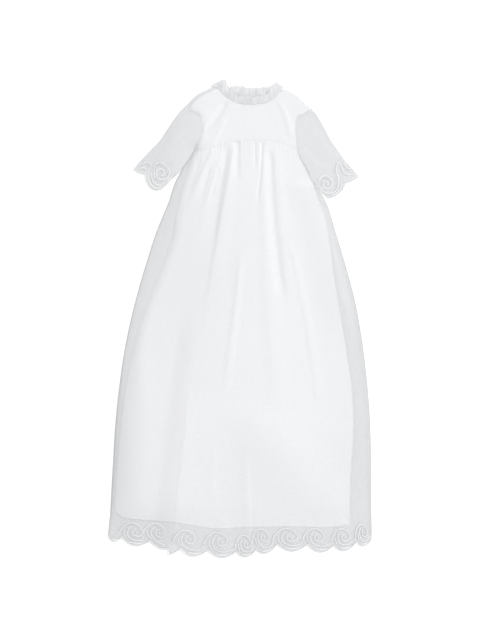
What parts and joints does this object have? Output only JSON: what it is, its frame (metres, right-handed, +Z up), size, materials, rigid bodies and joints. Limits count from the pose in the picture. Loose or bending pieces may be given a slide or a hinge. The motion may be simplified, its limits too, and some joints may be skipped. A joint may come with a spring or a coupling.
{
  "type": "christening gown",
  "caption": "Long infant christening gown laid flat: sheer gathered overlay with a scalloped hem over a plain lining, high yoke, short scalloped sleeves and a neck frill.",
  "frame": {"origin": "on the floor under the middle of the gown's outline", "axes": "+X to the right of a viewer who looks down on the front, +Y from the hem to the neck, +Z up from the surface that the gown lies on"},
  "size_m": [0.5154, 0.9312, 0.0182],
  "materials": {
    "sheer_overlay": "sheer white plain weave with white corded embroidery at the hem and cuffs",
    "cotton_lining": "soft white plain weave",
    "press_stud_metal": "small nickel press studs, hidden in the back lap"
  },
  "bodies": {
    "root": {"skirt_front": "sheer_overlay", "skirt_back": "sheer_overlay", "skirt_lining_front": "cotton_lining", "skirt_lining_back": "cotton_lining", "yoke_front": "sheer_overlay", "yoke_lining_front": "cotton_lining", "yoke_back_left": "sheer_overlay", "yoke_back_right": "sheer_overlay", "sleeve_left": "sheer_overlay", "sleeve_right": "sheer_overlay", "neck_frill_front": "sheer_overlay", "neck_frill_back": "sheer_overlay", "press_stud_1": "press_stud_metal", "press_stud_2": "press_stud_metal", "press_stud_3": "press_stud_metal"}
  },
  "joints": []
}
